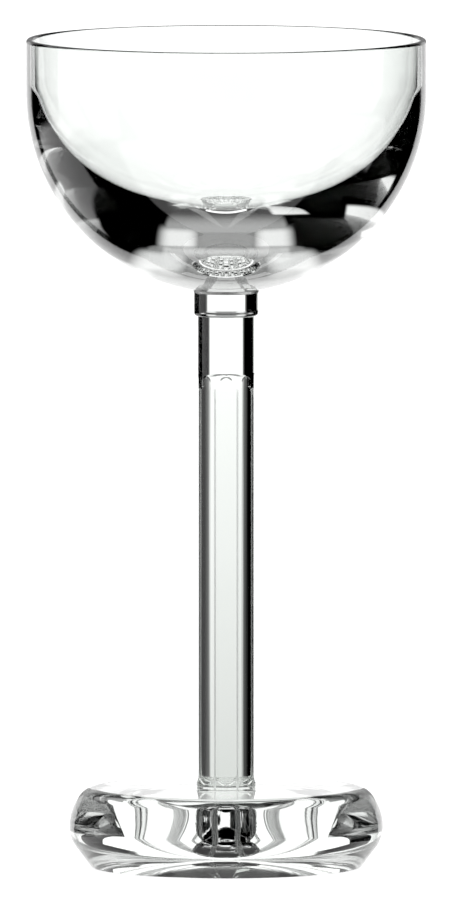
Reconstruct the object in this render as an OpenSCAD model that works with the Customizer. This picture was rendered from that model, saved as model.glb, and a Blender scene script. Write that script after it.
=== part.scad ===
// Stemmed sherbet glass: a thick-bottomed bowl, a collar, a stem cut with flats and a heavy foot.
// The pieces are worked separately from hot glass and meet at flat faces. Z is the axis, z = 0 the table.

/* [Foot] */
// Greatest diameter of the foot, at its rounded edge
foot_d = 64.4; // [60:0.2:76]
// Thickness of the foot
foot_h = 16.2; // [14:0.2:20]
// Height of the foot's widest line above the table
edge_z = 8.1; // [6:0.1:10]
// How much larger the radius of the foot's side is than the height of that side above the widest line
side_extra = 2.9; // [1:0.1:6]
// Radius that turns the side into the flat top
shoulder_r = 4.4; // [3:0.1:5.8]
// Radius of the edge below the widest line
under_r = 6.6; // [4:0.2:9]
// Inward lean of the straight cut from there to the ring that the glass stands on, in degrees
cut_lean = 37.5; // [30:0.5:44]
// Diameter of the hollow ground into the underside
hollow_d = 44; // [30:1:48]
// Depth of that hollow
hollow_h = 9.5; // [4:0.5:11]

/* [Stem] */
// Diameter of the stem where it is round, at its neck and root
stem_d = 11.7; // [10:0.1:12.4]
// Length of the stem, from the foot to the collar
stem_l = 97; // [60:1:130]
// Number of flats cut along the stem
flat_count = 8; // [6:1:10]
// Depth of each flat below the round of the neck
flat_cut = 0.13; // [0.05:0.01:0.3]
// How far the ridges between the flats stand out past the round of the neck
ridge_rise = 0.32; // [0.1:0.02:0.4]
// Length of the round neck above the ridges
neck_l = 14.8; // [8:0.2:30]
// How far the flats run up into the neck, in an arched end
arch_h = 2.7; // [1.6:0.1:5]
// Height of the round root below the ridges
root_h = 1.2; // [0.4:0.1:3]

/* [Collar] */
// Diameter of the collar between stem and bowl
collar_d = 13.3; // [13:0.1:16]
// Height of the collar
collar_h = 5.4; // [3:0.1:9]
// How far the collar's top edge flares out to the bowl
flare_w = 0.2; // [0.1:0.05:0.6]

/* [Bowl] */
// Outside diameter of the bowl
bowl_d = 82; // [76:1:92]
// Height of the straight wall above the bowl's half-round bottom
wall_h = 11.1; // [8:0.1:16]
// Thickness of the glass at the rim
rim_t = 1.3; // [1:0.1:2.5]
// Thickness of solid glass under the middle of the bowl
base_t = 10; // [8:0.2:12.6]
// Inward lean of the bowl's inside wall below the rim, in degrees
wall_lean = 3.5; // [2:0.5:6]
// How far off the axis the round side of the bowl's inside is centred
side_out = 8.2; // [6:0.1:11]
// How far that centre lies above the centre of the bowl's round outside
side_up = 3.9; // [2:0.1:6]

/* [Hidden] */
$fn = 128;
glass = [0.84, 0.92, 0.92];
// Extra reach of a cutter past the glass that it cuts
reach = 0.3;
// How far a round laps over the faces that it runs into, so that they cross cleanly
lap = 0.02;

foot_r = foot_d / 2;
// The side is upright at the widest line and runs into the round shoulder
upper_h = foot_h - edge_z;
flank_r = upper_h + side_extra;
flank_c = [foot_r - flank_r, edge_z];
shoulder_w = sqrt(pow(flank_r - shoulder_r, 2) - pow(upper_h - shoulder_r, 2));
shoulder_c = [flank_c.x + shoulder_w, foot_h - shoulder_r];
shoulder_z = shoulder_c.y + shoulder_r * sin(direction(shoulder_c - flank_c));
// Below, the edge runs into the straight cut, which ends at the flat ring
under_c = [foot_r - under_r, edge_z];
cut_top = under_c + ray(under_r - lap, -cut_lean);
ring_r = cut_top.x - cut_top.y * tan(cut_lean);
hollow_r = (hollow_d * hollow_d / 4 + hollow_h * hollow_h) / (2 * hollow_h);

stem_r = stem_d / 2;
ridge_r = stem_r + ridge_rise;
flat_y = stem_r - flat_cut;
flat_w = flat_y * tan(180 / flat_count) + reach;
// A little wider than the flat's own edges on the neck, so that only its top is round
arch_r = 1.1 * sqrt(stem_r * stem_r - flat_y * flat_y);
shaft_top = stem_l - neck_l;

collar_r = collar_d / 2;
seat_r = collar_r + flare_w;
collar_round = collar_r - stem_r;
flare_h = 3 * flare_w;

bowl_r = bowl_d / 2;
// The bowl's round bottom is cut flat where it sits on the collar
centre_z = sqrt(bowl_r * bowl_r - seat_r * seat_r);
lip_r = rim_t / 2;
lip_z = centre_z + wall_h - lip_r;
wall_top = [bowl_r - rim_t, lip_z];
// The leaning wall runs into the round side, and the side into a flatter floor, each without a corner
side_c = [side_out, centre_z + side_up];
side_r = (wall_top - side_c) * ray(1, -wall_lean);
side_h = side_c.y - base_t;
floor_r = (side_out * side_out + side_h * side_h - side_r * side_r) / (2 * (side_h - side_r));
floor_c = [0, base_t + floor_r];
floor_a = direction(side_c - floor_c);

stem_z = foot_h;
collar_z = stem_z + stem_l;
bowl_z = collar_z + collar_h;

function direction(v) = atan2(v.y, v.x);

function ray(length, angle) = length * [cos(angle), sin(angle)];

// Slice of a round disc between two angles
module slice(centre, radius, from, to) {
    translate(centre)
        intersection() {
            circle(radius);
            polygon([
                [0, 0],
                ray(2 * radius, from),
                ray(2 * radius, (from + to) / 2),
                ray(2 * radius, to)
            ]);
        }
}

// Half-section of the foot: flat top, rounded edge, straight cut, flat ring and a ground hollow below
module foot_section() {
    difference() {
        intersection() {
            union() {
                square([flank_c.x, foot_h]);
                slice(flank_c, flank_r, 0, 90);
                slice(under_c, under_r, -90, 0);
                polygon([[0, 0], [ring_r, 0], cut_top, under_c, [0, edge_z]]);
            }
            union() {
                square([shoulder_c.x, foot_h]);
                square([foot_r, shoulder_z]);
                translate(shoulder_c)
                    circle(shoulder_r + lap);
            }
            square([foot_r, foot_h]);
        }
        translate([0, hollow_h - hollow_r])
            circle(hollow_r);
    }
}

module foot() {
    color(glass)
        rotate_extrude()
            foot_section();
}

// Outline of one flat: full width along the ridged shaft, then a narrow arched end in the neck
module flat_outline() {
    translate([-flat_w, root_h])
        square([2 * flat_w, shaft_top - root_h]);
    translate([-arch_r, root_h])
        square([2 * arch_r, shaft_top + arch_h - arch_r - root_h]);
    translate([0, shaft_top + arch_h - arch_r])
        circle(arch_r);
}

// Round rod, thicker between root and neck, with flats ground along it, one of them facing the front
module stem() {
    color(glass)
        translate([0, 0, stem_z])
            difference() {
                union() {
                    cylinder(r = stem_r, h = stem_l);
                    translate([0, 0, root_h])
                        cylinder(r = ridge_r, h = shaft_top - root_h);
                }
                for (i = [0 : flat_count - 1])
                    rotate(360 * i / flat_count)
                        translate([0, -flat_y, 0])
                            rotate([90, 0, 0])
                                linear_extrude(stem_r)
                                    flat_outline();
            }
}

// Half-section of the collar: rounded below, flared to the bowl above
module collar_section() {
    square([stem_r, collar_h]);
    slice([stem_r, collar_round], collar_round, -90, 0);
    translate([0, collar_round])
        square([collar_r, collar_h - collar_round - flare_h]);
    polygon([
        [0, collar_h - flare_h],
        [collar_r, collar_h - flare_h],
        [seat_r, collar_h],
        [0, collar_h]
    ]);
}

module collar() {
    color(glass)
        translate([0, 0, collar_z])
            rotate_extrude()
                collar_section();
}

// Half-section of the space inside the bowl, below the lip
module bowl_inside() {
    intersection() {
        union() {
            slice(floor_c, floor_r, -90, floor_a);
            translate(side_c)
                circle(side_r + lap);
            polygon([
                [0, side_c.y],
                side_c - [0, side_r / 2],
                side_c + ray(side_r, -wall_lean),
                wall_top,
                [0, lip_z]
            ]);
        }
        square([bowl_r, lip_z]);
    }
}

// Half-section of the bowl's outer form, below the lip
module bowl_outside() {
    intersection() {
        slice([0, centre_z], bowl_r, -90, 0);
        square([bowl_r, centre_z]);
    }
    translate([0, centre_z])
        square([bowl_r, lip_z - centre_z]);
}

module bowl() {
    color(glass)
        translate([0, 0, bowl_z])
            rotate_extrude() {
                difference() {
                    bowl_outside();
                    bowl_inside();
                }
                slice([bowl_r - lip_r, lip_z], lip_r, 0, 180);
            }
}

foot();
stem();
collar();
bowl();
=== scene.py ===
# Sherbet glass of clear crystal: bowl, collar, cut stem and heavy foot as fine turned surfaces, their
# finishes, a white table, the lit cards and dark walls that show in the glass, and the photograph's view.
import math

import bpy
import numpy as np
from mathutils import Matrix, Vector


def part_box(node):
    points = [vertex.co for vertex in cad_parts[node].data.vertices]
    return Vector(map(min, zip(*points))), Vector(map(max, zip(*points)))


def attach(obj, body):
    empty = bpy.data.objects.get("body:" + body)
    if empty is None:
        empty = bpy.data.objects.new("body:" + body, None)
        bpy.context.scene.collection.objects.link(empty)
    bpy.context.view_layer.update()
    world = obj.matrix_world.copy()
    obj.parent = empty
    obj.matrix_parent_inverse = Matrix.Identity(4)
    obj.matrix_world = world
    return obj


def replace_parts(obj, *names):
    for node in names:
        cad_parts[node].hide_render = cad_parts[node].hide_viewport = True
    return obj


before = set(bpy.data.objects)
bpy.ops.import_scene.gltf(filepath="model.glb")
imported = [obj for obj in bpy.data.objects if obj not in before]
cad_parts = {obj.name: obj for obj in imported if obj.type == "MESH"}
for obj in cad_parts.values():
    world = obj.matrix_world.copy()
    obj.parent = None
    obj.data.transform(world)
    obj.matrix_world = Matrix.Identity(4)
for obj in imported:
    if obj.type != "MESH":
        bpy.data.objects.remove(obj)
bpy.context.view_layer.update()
print("frame loaded:", ", ".join(sorted(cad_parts)))

scene = bpy.context.scene
scene.view_settings.view_transform = "Standard"
scene.cycles.max_bounces = 24  # light passes many faces inside thick glass
scene.cycles.transmission_bounces = 24
scene.cycles.glossy_bounces = 16
scene.cycles.transparent_max_bounces = 32
mm = 0.001


# sRGB hex to a linear colour with alpha 1
def hexColour(code):
    srgb = np.array([int(code[i:i + 2], 16) for i in (0, 2, 4)]) / 255
    linear = np.where(srgb <= 0.04045, srgb / 12.92, ((srgb + 0.055) / 1.055) ** 2.4)
    return (*linear.tolist(), 1.0)


# Adds a node: settings are its sockets or properties by name, links give (node, output) for a socket
def addNode(tree, kind, settings=None, links=None):
    node = tree.nodes.new(kind)
    for key, value in (settings or {}).items():
        if isinstance(key, int) or key in node.inputs:
            node.inputs[key].default_value = value
        else:
            setattr(node, key, value)
    for key, (source, output) in (links or {}).items():
        tree.links.new(source.outputs[output], node.inputs[key])
    return node


def newMaterial(name):
    material = bpy.data.materials.new(name)
    material.use_nodes = True
    material.node_tree.nodes.clear()
    return material, material.node_tree


# Crystal of any finish starts clear, with clouds of faint cords that the melt has left in it
def startCrystal(name, values):
    material, tree = newMaterial(name)
    place = addNode(tree, "ShaderNodeTexCoord")
    cords = addNode(tree, "ShaderNodeTexNoise", {"Scale": 1 / (values["streakSize"] * mm), "Detail": 2.0},
                    {"Vector": (place, "Object")})
    tint = addNode(tree, "ShaderNodeMix",
                   {"data_type": "RGBA", 6: hexColour(values["clear"]), 7: hexColour(values["streak"])},
                   {0: (cords, "Fac")})
    return material, tree, place, tint


# Lead crystal as it comes from the furnace, fire polished: clear with a breath of grey-green,
# its skin in long low waves that make straight reflections wander.
firePolish = {
    "clear": "FDFEFD", "streak": "F8FBF9",
    "streakSize": 30.0,  # mm across one cloud of the faint cords in the glass
    "waveSize": 11.0, "waveDepth": 0.012,  # mm
    "ior": 1.53,
}


def firePolishedCrystal(name, values):
    material, tree, place, tint = startCrystal(name, values)
    waves = addNode(tree, "ShaderNodeTexNoise", {"Scale": 1 / (values["waveSize"] * mm), "Detail": 1.0},
                    {"Vector": (place, "Object")})
    skin = addNode(tree, "ShaderNodeBump", {"Strength": 1.0, "Distance": values["waveDepth"] * mm},
                   {"Height": (waves, "Fac")})
    glass = addNode(tree, "ShaderNodeBsdfPrincipled",
                    {"Transmission Weight": 1.0, "Roughness": 0.0, "IOR": values["ior"]},
                    {"Base Color": (tint, 2), "Normal": (skin, "Normal")})
    addNode(tree, "ShaderNodeOutputMaterial", links={"Surface": (glass, "BSDF")})
    return material


# The same crystal cut on a wheel and polished: flat and bright, with fine lines along the cut, ridges
# that wear has dulled to thin grey lines, and painted shade, a grey that deepens towards the foot. The neck
# keeps its furnace polish.
wheelCut = {
    "clear": "FDFEFD", "streak": "F6FAF7",
    "streakSize": 24.0,  # mm
    "lineSize": 0.8, "lineLength": 60.0, "lineDepth": 0.008,  # mm, coarser than real ones, to show
    "rootHeight": 16.0, "neckHeight": 98.0,  # mm above the table, where the cut starts and ends
    "neckFade": 1.0,  # mm over which it ends
    # Painted shade: the cut's colour is multiplied by these greys, deep at the root and faint at the neck
    "paintedShadeAtRoot": "CDCFCD", "paintedShadeAtNeck": "F1F2F1",
    "flats": 8, "ridgeRadius": 6.17, "wornWidth": 0.7,  # mm
    "wornRoughness": 0.7,
    "ior": 1.53,
}


def wheelCutCrystal(name, values):
    material, tree, place, tint = startCrystal(name, values)
    across, along = 1 / (values["lineSize"] * mm), 1 / (values["lineLength"] * mm)
    stretched = addNode(tree, "ShaderNodeMapping", {"Scale": (across, across, along)},
                        {"Vector": (place, "Object")})
    lines = addNode(tree, "ShaderNodeTexNoise", {"Scale": 1.0, "Detail": 2.0},
                    {"Vector": (stretched, "Vector")})
    axes = addNode(tree, "ShaderNodeSeparateXYZ", links={"Vector": (place, "Object")})
    root, neck = values["rootHeight"] * mm, values["neckHeight"] * mm
    # 1 on the cut and 0 on the neck
    cut = addNode(tree, "ShaderNodeMapRange", {"From Min": neck + values["neckFade"] * mm, "From Max": neck},
                  {"Value": (axes, "Z")})
    skin = addNode(tree, "ShaderNodeBump", {"Distance": values["lineDepth"] * mm},
                   {"Height": (lines, "Fac"), "Strength": (cut, "Result")})
    # Painted shade: the colour of the cut turns a deeper grey from the neck down to the root
    rise = addNode(tree, "ShaderNodeMapRange", {"From Min": root, "From Max": neck}, {"Value": (axes, "Z")})
    grey = addNode(tree, "ShaderNodeMix",
                   {"data_type": "RGBA",
                    6: hexColour(values["paintedShadeAtRoot"]), 7: hexColour(values["paintedShadeAtNeck"])},
                   {0: (rise, "Result")})
    shaded = addNode(tree, "ShaderNodeMix", {"data_type": "RGBA", "blend_type": "MULTIPLY"},
                     {0: (cut, "Result"), 6: (tint, 2), 7: (grey, 2)})
    # Counted in flats round the axis, the way from the middle of a flat is 0 there and a half at a ridge
    flatsPerRadian = values["flats"] / (2 * math.pi)
    angle = addNode(tree, "ShaderNodeMath", {"operation": "ARCTAN2"}, {0: (axes, "Y"), 1: (axes, "X")})
    turns = addNode(tree, "ShaderNodeMath", {"operation": "MULTIPLY", 1: flatsPerRadian},
                    {0: (angle, "Value")})
    off = addNode(tree, "ShaderNodeMath", {"operation": "PINGPONG", 1: 0.5}, {0: (turns, "Value")})
    wornPart = values["wornWidth"] / 2 / values["ridgeRadius"] * flatsPerRadian
    worn = addNode(tree, "ShaderNodeMapRange",
                   {"From Min": 0.5 - wornPart, "From Max": 0.5, "To Max": values["wornRoughness"]},
                   {"Value": (off, "Value")})
    roughness = addNode(tree, "ShaderNodeMath", {"operation": "MULTIPLY"},
                        {0: (worn, "Result"), 1: (cut, "Result")})
    glass = addNode(tree, "ShaderNodeBsdfPrincipled", {"Transmission Weight": 1.0, "IOR": values["ior"]},
                    {"Base Color": (shaded, 2), "Roughness": (roughness, "Value"),
                     "Normal": (skin, "Normal")})
    addNode(tree, "ShaderNodeOutputMaterial", links={"Surface": (glass, "BSDF")})
    return material


# The heavy foot: pressed and polished crystal with slow ripples in its skin, and a standing ring
# that use has dulled with fine scratches.
groundFoot = {
    "clear": "FDFEFD", "streak": "F6FAF7",
    "streakSize": 26.0,  # mm
    "rippleSize": 7.0, "rippleDepth": 0.02,  # mm
    "wearHeight": 0.25, "scratchSize": 0.35,  # mm above the table, mm apart
    "wearRoughness": 0.22,
    "ior": 1.53,
}


def groundFootCrystal(name, values):
    material, tree, place, tint = startCrystal(name, values)
    ripples = addNode(tree, "ShaderNodeTexNoise", {"Scale": 1 / (values["rippleSize"] * mm), "Detail": 1.5},
                      {"Vector": (place, "Object")})
    skin = addNode(tree, "ShaderNodeBump", {"Strength": 1.0, "Distance": values["rippleDepth"] * mm},
                   {"Height": (ripples, "Fac")})
    axes = addNode(tree, "ShaderNodeSeparateXYZ", links={"Vector": (place, "Object")})
    worn = addNode(tree, "ShaderNodeMapRange", {"From Min": values["wearHeight"] * mm, "From Max": 0.0},
                   {"Value": (axes, "Z")})
    scratches = addNode(tree, "ShaderNodeTexNoise",
                        {"Scale": 1 / (values["scratchSize"] * mm), "Detail": 3.0},
                        {"Vector": (place, "Object")})
    dulled = addNode(tree, "ShaderNodeMath", {"operation": "MULTIPLY"},
                     {0: (worn, "Result"), 1: (scratches, "Fac")})
    # The scratches are a half on average, so twice the roughness gives it as the mean
    roughness = addNode(tree, "ShaderNodeMath", {"operation": "MULTIPLY", 1: 2 * values["wearRoughness"]},
                        {0: (dulled, "Value")})
    glass = addNode(tree, "ShaderNodeBsdfPrincipled", {"Transmission Weight": 1.0, "IOR": values["ior"]},
                    {"Base Color": (tint, 2), "Roughness": (roughness, "Value"), "Normal": (skin, "Normal")})
    addNode(tree, "ShaderNodeOutputMaterial", links={"Surface": (glass, "BSDF")})
    return material


# Where two pieces were stuck together hot, no face is left inside the glass, so light passes straight on
def fusedJoint(name):
    material, tree = newMaterial(name)
    through = addNode(tree, "ShaderNodeBsdfTransparent")
    addNode(tree, "ShaderNodeOutputMaterial", links={"Surface": (through, "BSDF")})
    return material


blownCrystal = firePolishedCrystal("fire_polished_crystal", firePolish)
cutCrystal = wheelCutCrystal("wheel_cut_crystal", wheelCut)
footCrystal = groundFootCrystal("ground_foot_crystal", groundFoot)
joinedCrystal = fusedJoint("fused_joint")
print("finishes made")


# Points on a straight line, closer together at both ends: t = (1 - cos s) / 2 for s from 0 to pi
def straightRun(start, end, count):
    t = (1 - np.cos(np.linspace(0, np.pi, count))) / 2
    return np.array(start) + np.outer(t, np.subtract(end, start))


# Points on a circle's arc at even angles in degrees
def arcRun(centre, radius, fromAngle, toAngle, count):
    a = np.radians(np.linspace(fromAngle, toAngle, count))
    return np.array(centre) + radius * np.column_stack([np.cos(a), np.sin(a)])


# Joins runs of a section, each starting where the last one ended; a run named as a joint marks its steps
def joinRuns(runs, jointRuns):
    points, joints = [runs[0]], [np.full(len(runs[0]) - 1, 0 in jointRuns)]
    for i, run in enumerate(runs[1:], 1):
        points.append(run[1:])
        joints.append(np.full(len(run) - 1, i in jointRuns))
    return np.concatenate(points), np.concatenate(joints)


# A surface of revolution: row i, column j lies at (r cos a, r sin a, z) with r = radii[i, j], a = angles[j]
# and z = heights[i], all in mm. The first and last row are single points on the axis, and the rows run
# from the axis below, out and up, to the axis above, so every face points out of the glass.
def turnedPiece(name, radii, heights, angles, joints, finish, sharpFrom=30):
    ring = np.array(radii[1:-1])
    rows, columns = ring.shape
    xyz = np.stack([ring * np.cos(angles), ring * np.sin(angles),
                    np.broadcast_to(heights[1:-1, None], ring.shape)], axis=-1).reshape(-1, 3)
    poles = np.array([[0, 0, heights[0]], [0, 0, heights[-1]]])
    points = np.concatenate([xyz, poles]) * mm
    here = np.arange(rows * columns).reshape(rows, columns)
    beside = np.roll(here, -1, axis=1)
    quads = np.stack([here[:-1], beside[:-1], beside[1:], here[1:]], axis=-1).reshape(-1, 4)
    below = np.stack([np.full(columns, rows * columns), beside[0], here[0]], axis=-1)
    above = np.stack([here[-1], beside[-1], np.full(columns, rows * columns + 1)], axis=-1)
    mesh = bpy.data.meshes.new(name)
    mesh.from_pydata(points.tolist(), [], below.tolist() + quads.tolist() + above.tolist())
    mesh.polygons.foreach_set("material_index", np.repeat(joints, columns).astype(np.int32))
    mesh.polygons.foreach_set("use_smooth", np.ones(len(mesh.polygons), bool))
    mesh.set_sharp_from_angle(angle=math.radians(sharpFrom))
    mesh.materials.append(finish)
    mesh.materials.append(joinedCrystal)
    piece = bpy.data.objects.new(name, mesh)
    scene.collection.objects.link(piece)
    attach(piece, "root")
    print(name, len(mesh.polygons), "faces")
    return piece


# A round piece: one section (r, z) carried evenly round the axis
def roundPiece(name, section, joints, bottom, finish, columns=288):
    angles = np.linspace(0, 2 * np.pi, columns, endpoint=False)
    radii = np.repeat(section[:, :1], columns, axis=1)
    return turnedPiece(name, radii, section[:, 1] + bottom, angles, joints, finish)


def bottomOf(node):
    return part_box(node)[0].z / mm


def heightOf(node):
    low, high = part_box(node)
    return (high.z - low.z) / mm


stemRadius = 5.85  # mm, where the stem is round; its joints with foot and collar are as wide

# Foot: ground hollow, standing ring, straight cut, round edge, side, shoulder and flat top, in mm
foot = {
    "radius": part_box("foot")[1].x / mm,
    "height": heightOf("foot"),
    "edgeHeight": 8.1,  # the widest line
    "sideExtra": 2.9,  # how much larger the side's radius is than its height above that line
    "shoulderRadius": 4.4,
    "underRadius": 6.6, "cutLean": 37.5,  # the lean in degrees
    "hollowRadius": 22.0, "hollowDepth": 9.5,
}


# Each arc starts in the direction in which the last one ends: the shoulder's centre lies as far from the
# side's centre as their radii differ, and the straight cut leaves the lower edge where that leans as much
# as the cut.
def makeFoot(values):
    radius, height, edge = values["radius"], values["height"], values["edgeHeight"]
    shoulder, under, lean = values["shoulderRadius"], values["underRadius"], math.radians(values["cutLean"])
    side = height - edge + values["sideExtra"]
    top = radius - side + math.sqrt((side - shoulder) ** 2 - (height - edge - shoulder) ** 2)
    turn = math.degrees(math.atan2(height - shoulder - edge, top - radius + side))
    ring = radius - under + under / math.cos(lean) - edge * math.tan(lean)
    across, depth = values["hollowRadius"], values["hollowDepth"]
    hollow = (across ** 2 + depth ** 2) / (2 * depth)
    hollowEdge = math.degrees(math.acos(across / hollow))
    cutEnd = np.array([radius - under, edge]) + under * np.array([math.cos(lean), -math.sin(lean)])
    section, joints = joinRuns([
        arcRun((0, depth - hollow), hollow, 90, hollowEdge, 64),
        straightRun((across, 0), (ring, 0), 10),
        straightRun((ring, 0), cutEnd, 16),
        arcRun((radius - under, edge), under, -values["cutLean"], 0, 32),
        arcRun((radius - side, edge), side, 0, turn, 40),
        arcRun((top, height - shoulder), shoulder, turn, 90, 40),
        straightRun((top, height), (stemRadius, height), 32),
        straightRun((stemRadius, height), (0, height), 6),
    ], jointRuns=[7])
    return roundPiece("foot_turned", section, joints, bottomOf("foot"), footCrystal)


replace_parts(makeFoot(foot), "foot")

# Stem: a round rod with eight long flats ground into it, each ending in an arch in the neck and in a tongue
# at the root; the polishing has left the flats a little crowned and the ridges between them soft, in mm
stem = {
    "length": heightOf("stem"),
    "flats": 8, "flatDepth": 0.13, "crownRadius": 28.0,
    "ridgeSharpness": 200,  # power of the mean that rounds a ridge
    "rootRadius": 6.05, "tongueLow": 0.9, "tongueHigh": 2.5,
    "neckLength": 14.8, "archHeight": 2.7,
    "archWidth": 1.1,  # times the width of a flat's own edges on the neck
    "edgeRound": 0.06, "cutSoft": 0.16,
    "columnsPerFlat": 40,
}


# 3 t^2 - 2 t^3 between 0 and 1
def smoothStep(x):
    t = np.clip(x, 0, 1)
    return t * t * (3 - 2 * t)


# Across a flat, at angle p from its middle, the crown is a circle of radius c whose centre lies e = c - y
# past the axis, so its distance from the axis is sqrt(c^2 - (e sin p)^2) - e cos p. Two neighbours meet in
# a ridge, rounded by the power mean of their distances. The shaft has this section, the root and the neck
# are round, and the flats run on into them: down to a tongue, lower in the middle of a flat, and up to a
# half circle on top of a strip.
def makeStem(values):
    sector = 360 / values["flats"]
    middles = -90 + sector * np.arange(values["flats"])
    offsets = -sector / 2 * np.cos(np.linspace(0, np.pi, values["columnsPerFlat"], endpoint=False))
    p = np.radians(np.tile(offsets, values["flats"]))
    angles = np.radians(np.repeat(middles, values["columnsPerFlat"])) + p
    flatY = stemRadius - values["flatDepth"]
    crown, sharp = values["crownRadius"], values["ridgeSharpness"]
    past = crown - flatY
    beside = np.radians(sector) - np.abs(p)
    near, far = (np.sqrt(crown ** 2 - (past * np.sin(a)) ** 2) - past * np.cos(a) for a in (p, beside))
    shaft = (near ** -sharp + far ** -sharp) ** (-1 / sharp)
    archRadius = values["archWidth"] * math.sqrt(stemRadius ** 2 - flatY ** 2)
    soft, low, high = values["edgeRound"], values["tongueLow"], values["tongueHigh"]
    shoulder = values["length"] - values["neckLength"]
    archTop = shoulder + values["archHeight"]
    # Rows lie close together at the tongues, the shoulder and the arches
    margin = 0.2
    heights = np.unique(np.concatenate([
        np.linspace(0, low - margin, 6), np.linspace(low - margin, high + margin, 48),
        np.linspace(high + margin, shoulder - soft, 40), np.linspace(shoulder - soft, shoulder + soft, 9),
        np.linspace(shoulder + soft, archTop + soft, 34), np.linspace(archTop + soft, values["length"], 12),
    ]).round(5))
    z = heights[:, None]
    tongue = low + (high - low) * (np.degrees(np.abs(p)) / (sector / 2)) ** 2
    inTongue = smoothStep((z - tongue) / values["cutSoft"] + 0.5)
    inArch = archRadius - np.hypot(near * np.sin(p), np.maximum(z - (archTop - archRadius), 0))
    neck = stemRadius - np.maximum(stemRadius - near, 0) * smoothStep(inArch / values["cutSoft"])
    aboveShoulder = smoothStep((z - shoulder + soft) / (2 * soft))
    radii = values["rootRadius"] + (shaft - values["rootRadius"]) * inTongue
    radii = radii + (neck - radii) * aboveShoulder
    inner = np.linspace(0, stemRadius, 4)[1:-1, None] * np.ones_like(p)
    centre = np.zeros((1, len(p)))
    radii = np.concatenate([centre, inner, radii, inner[::-1], centre])
    flatEnd = np.zeros(len(inner) + 1)
    heights = np.concatenate([flatEnd, heights, flatEnd + values["length"]])
    joints = np.zeros(len(heights) - 1, bool)
    joints[:len(flatEnd)] = joints[-len(flatEnd):] = True
    return turnedPiece("stem_cut", radii, heights + bottomOf("stem"), angles, joints, cutCrystal)


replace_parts(makeStem(stem), "stem")

# Collar: a short bead, rounded below and flared to the bowl above, in mm
collar = {"radius": 6.65, "height": heightOf("collar"), "flareWidth": 0.2, "flareHeight": 0.6}


# A quarter circle from the stem's edge out to the upright side, then a straight slope out to the bowl
def makeCollar(values):
    radius, height = values["radius"], values["height"]
    rounding = radius - stemRadius
    seat = radius + values["flareWidth"]
    flareFoot = height - values["flareHeight"]
    section, joints = joinRuns([
        straightRun((0, 0), (stemRadius, 0), 6),
        arcRun((stemRadius, rounding), rounding, -90, 0, 24),
        straightRun((radius, rounding), (radius, flareFoot), 16),
        straightRun((radius, flareFoot), (seat, height), 10),
        straightRun((seat, height), (0, height), 6),
    ], jointRuns=[0, 4])
    return roundPiece("collar_bead", section, joints, bottomOf("collar"), blownCrystal)


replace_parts(makeCollar(collar), "collar")

# Bowl: half-round outside with a straight wall, a round lip and a thick bottom under a hollowed floor, in mm
bowl = {
    "radius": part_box("bowl")[1].x / mm,
    "seatRadius": collar["radius"] + collar["flareWidth"],
    "wallHeight": 11.1, "rimThickness": 1.3,
    "wallLean": 3.5,  # degrees
    "baseThickness": 10.0,
    "sideOut": 8.2, "sideUp": 3.9,  # the inside's round is centred off the axis, above the outside's centre
}


# Inside, the leaning wall, the round side and the flatter floor touch each other: the side's radius is its
# centre's distance from the wall, and the floor's centre, on the axis, is as far from the side's centre as
# their radii differ.
def makeBowl(values):
    radius, seat, lean = values["radius"], values["seatRadius"], values["wallLean"]
    centreZ = math.sqrt(radius ** 2 - seat ** 2)
    lip = values["rimThickness"] / 2
    lipZ = centreZ + values["wallHeight"] - lip
    wallTop = np.array([radius - 2 * lip, lipZ])
    out = values["sideOut"]
    sideCentre = np.array([out, centreZ + values["sideUp"]])
    outward = np.array([math.cos(math.radians(lean)), -math.sin(math.radians(lean))])
    side = (wallTop - sideCentre) @ outward
    rise = sideCentre[1] - values["baseThickness"]
    floor = (out ** 2 + rise ** 2 - side ** 2) / (2 * (rise - side))
    floorCentre = np.array([0, values["baseThickness"] + floor])
    floorAngle = math.degrees(math.atan2(*(sideCentre - floorCentre)[::-1]))
    section, joints = joinRuns([
        straightRun((0, 0), (seat, 0), 6),
        arcRun((0, centreZ), radius, -math.degrees(math.acos(seat / radius)), 0, 120),
        straightRun((radius, centreZ), (radius, lipZ), 20),
        arcRun((radius - lip, lipZ), lip, 0, 180, 28),
        straightRun(wallTop, sideCentre + side * outward, 16),
        arcRun(sideCentre, side, -lean, floorAngle, 72),
        arcRun(floorCentre, floor, floorAngle, -90, 64),
    ], jointRuns=[0])
    return roundPiece("bowl_blown", section, joints, bottomOf("bowl"), blownCrystal)


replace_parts(makeBowl(bowl), "bowl")
print("pieces made")

# White table: a disc that glows a little, so that it is white to the eye and still takes a shadow, in mm
table = {"radius": 44.0, "gap": 0.05, "colour": "F4F4F4", "glow": 1.05}


# A fan of triangles round the middle of a circle
def makeTable(values, sides=96):
    a = np.linspace(0, 2 * np.pi, sides, endpoint=False)
    edge = np.column_stack([np.cos(a), np.sin(a), np.zeros(sides)]) * values["radius"]
    points = (np.concatenate([edge, np.zeros((1, 3))]) - [0, 0, values["gap"]]) * mm
    first = np.arange(sides)
    faces = np.column_stack([first, np.roll(first, -1), np.full(sides, sides)])
    mesh = bpy.data.meshes.new("white_table")
    mesh.from_pydata(points.tolist(), [], faces.tolist())
    material, tree = newMaterial("white_table")
    colour = hexColour(values["colour"])
    matt = addNode(tree, "ShaderNodeBsdfDiffuse", {"Color": colour})
    glow = addNode(tree, "ShaderNodeEmission", {"Color": colour, "Strength": values["glow"]})
    both = addNode(tree, "ShaderNodeAddShader", links={0: (matt, "BSDF"), 1: (glow, "Emission")})
    addNode(tree, "ShaderNodeOutputMaterial", links={"Surface": (both, "Shader")})
    mesh.materials.append(material)
    piece = bpy.data.objects.new("white_table", mesh)
    scene.collection.objects.link(piece)


makeTable(table)

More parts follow.
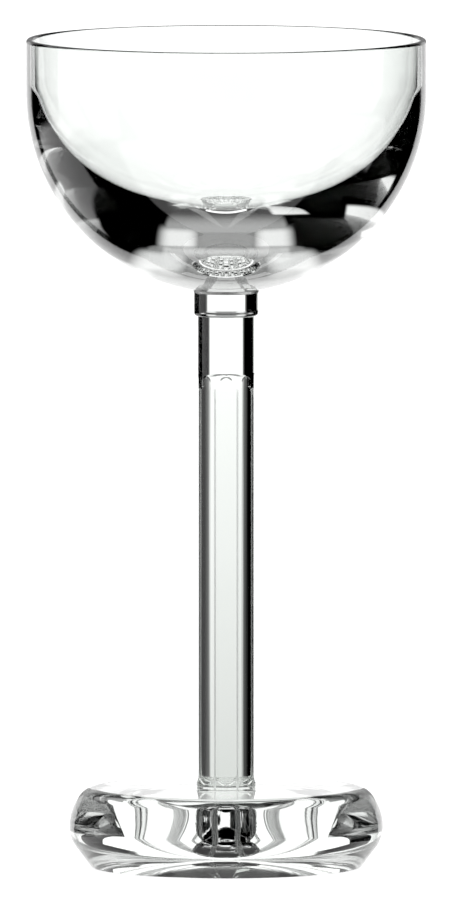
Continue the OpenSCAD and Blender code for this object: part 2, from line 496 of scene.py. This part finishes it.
# Low cards: lit strips of card that stand close behind and beside the foot, seen only in the glass, in mm
lowCards = {
    "level": 1.3,
    "cards": [  # heading and half width in degrees, as in the studio
        {"heading": 0, "half": 23.5, "radius": 80, "low": 9, "high": 27},
        {"heading": 46, "half": 18, "radius": 55, "low": 3, "high": 15},
        {"heading": -46, "half": 18, "radius": 55, "low": 3, "high": 15},
    ],
}


# Each card is bent to a circle round the axis: columns at even headings, one row of faces
def makeLowCards(values, columns=25):
    points, faces = [], []
    for card in values["cards"]:
        a = np.radians(card["heading"] + np.linspace(-card["half"], card["half"], columns))
        ring = card["radius"] * np.column_stack([-np.sin(a), np.cos(a)])
        first = 2 * columns * len(faces) + np.arange(columns - 1)
        points += [np.column_stack([ring, np.full(columns, card[end])]) for end in ("low", "high")]
        faces.append(np.column_stack([first, first + 1, first + columns + 1, first + columns]))
    mesh = bpy.data.meshes.new("low_cards")
    mesh.from_pydata((np.concatenate(points) * mm).tolist(), [], np.concatenate(faces).tolist())
    material, tree = newMaterial("lit_card")
    glow = addNode(tree, "ShaderNodeEmission", {"Strength": values["level"]})
    addNode(tree, "ShaderNodeOutputMaterial", links={"Surface": (glow, "Emission")})
    mesh.materials.append(material)
    piece = bpy.data.objects.new("low_cards", mesh)
    piece.visible_camera = False
    scene.collection.objects.link(piece)


makeLowCards(lowCards)

# Studio: the camera sees plain white. The glass sees what stands round it: a backdrop that is white nearly
# up to the horizon and grey above, two lit strips above, lit cards low down on all sides, and dark walls
# between them, which draw its edges.
studio = {
    # Heading in degrees from +Y towards -X, half width, elevations that the card spans, and its level
    "cards": [
        {"heading": 0, "half": 26.5, "low": -44, "high": -2.2, "level": 1.3, "fade": 2.3},  # backdrop
        {"heading": 20, "half": 6.5, "low": -4, "high": 11, "level": 1.0, "soft": 4},
        {"heading": -20, "half": 6.5, "low": -4, "high": 11, "level": 1.0, "soft": 4},
        {"heading": 0, "half": 26.5, "low": 8, "high": 20, "level": 0.42, "fade": 8},
        {"heading": 0, "half": 13, "low": -4, "high": 21, "level": 0.32, "soft": 4},
        {"heading": 31, "half": 9, "low": 24, "high": 89, "level": 1.15},  # strips above
        {"heading": -38, "half": 7, "low": 50, "high": 89, "level": 1.15},
        {"heading": 54, "half": 20, "low": -36, "high": -10.5, "level": 1.2},  # low down, all round
        {"heading": 90, "half": 24, "low": -20, "high": -0.5, "level": 1.1},
        {"heading": -95, "half": 22, "low": -29, "high": -9.5, "level": 1.2},
        {"heading": 180, "half": 70, "low": -88, "high": -22, "level": 1.2},
        {"heading": 225, "half": 22, "low": -28, "high": -3, "level": 0.9},
    ],
    "soft": 1.5,  # degrees on either side of an edge over which it fades, where the card gives no others
}


# A card is lit where the cosine of the heading from its middle, and the sine of the elevation, are in its
# range, and where cards overlap the brightest is seen
def makeStudio(values):
    world = bpy.data.worlds.new("studio")
    scene.world = world
    world.use_nodes = True
    tree = world.node_tree
    tree.nodes.clear()
    place = addNode(tree, "ShaderNodeTexCoord")
    axes = addNode(tree, "ShaderNodeSeparateXYZ", links={"Vector": (place, "Generated")})
    levelWay = addNode(tree, "ShaderNodeVectorMath", {"operation": "MULTIPLY", 1: (1, 1, 0)},
                       {0: (place, "Generated")})
    heading = addNode(tree, "ShaderNodeVectorMath", {"operation": "NORMALIZE"}, {0: (levelWay, "Vector")})
    rays = addNode(tree, "ShaderNodeLightPath")
    level = (rays, "Is Camera Ray")
    for card in values["cards"]:
        turn = math.radians(card["heading"])
        facing = addNode(tree, "ShaderNodeVectorMath",
                         {"operation": "DOT_PRODUCT", 1: (-math.sin(turn), math.cos(turn), 0)},
                         {0: (heading, "Vector")})
        half, low, high = (math.radians(card[key]) for key in ("half", "low", "high"))
        soft = math.radians(card.get("soft", values["soft"]))
        fade = math.radians(card["fade"]) if "fade" in card else soft  # at the top
        # Each edge scales the light that the edge before it lets through
        lit = None
        for source, dark, bright in (((facing, "Value"), math.cos(half + soft), math.cos(half - soft)),
                                     ((axes, "Z"), math.sin(low - soft), math.sin(low + soft)),
                                     ((axes, "Z"), math.sin(high + fade), math.sin(high - fade))):
            links = {"Value": source, "To Max": (lit, "Result")} if lit else {"Value": source}
            lit = addNode(tree, "ShaderNodeMapRange",
                          {"interpolation_type": "SMOOTHSTEP", "From Min": dark, "From Max": bright,
                           "To Max": card["level"]}, links)
        brightest = addNode(tree, "ShaderNodeMath", {"operation": "MAXIMUM"}, {0: level, 1: (lit, "Result")})
        level = (brightest, "Value")
    sky = addNode(tree, "ShaderNodeBackground", {"Color": (1, 1, 1, 1)}, {"Strength": level})
    addNode(tree, "ShaderNodeOutputWorld", links={"Surface": (sky, "Background")})


makeStudio(studio)
print("table and studio made")

# Camera: a long lens, a little above level, framed as the photograph of 449 x 900 pixels
camera = {
    "pixel": 0.205,  # mm of the glass in one pixel
    "frameHeight": 900, "axisColumn": 226.2, "middleColumn": 224.5,
    "targetRow": 454.5, "middleRow": 450,  # the row of the point looked at, and the frame's middle
    "targetHeight": 84.7, "elevation": 4.7,  # mm, degrees
    "lens": 1440, "sensorHeight": 36, "sensorWidth": 72,  # mm
}


# The camera stands where the frame's height at the glass is to its distance as the sensor's is to the lens
def makeCamera(values):
    data = bpy.data.cameras.new("view")
    data.sensor_fit = "VERTICAL"
    data.sensor_height, data.sensor_width = values["sensorHeight"], values["sensorWidth"]
    data.lens = values["lens"]
    data.shift_x = (values["middleColumn"] - values["axisColumn"]) / values["frameHeight"]
    data.shift_y = (values["targetRow"] - values["middleRow"]) / values["frameHeight"]
    away = values["lens"] * values["frameHeight"] * values["pixel"] * mm / values["sensorHeight"]
    data.clip_start, data.clip_end = 0.1, 2 * away
    rise = math.radians(values["elevation"])
    view = bpy.data.objects.new("view", data)
    view.location = (0, -away * math.cos(rise), values["targetHeight"] * mm + away * math.sin(rise))
    view.rotation_euler = (math.pi / 2 - rise, 0, 0)
    scene.collection.objects.link(view)
    scene.camera = view


makeCamera(camera)
print("camera set")
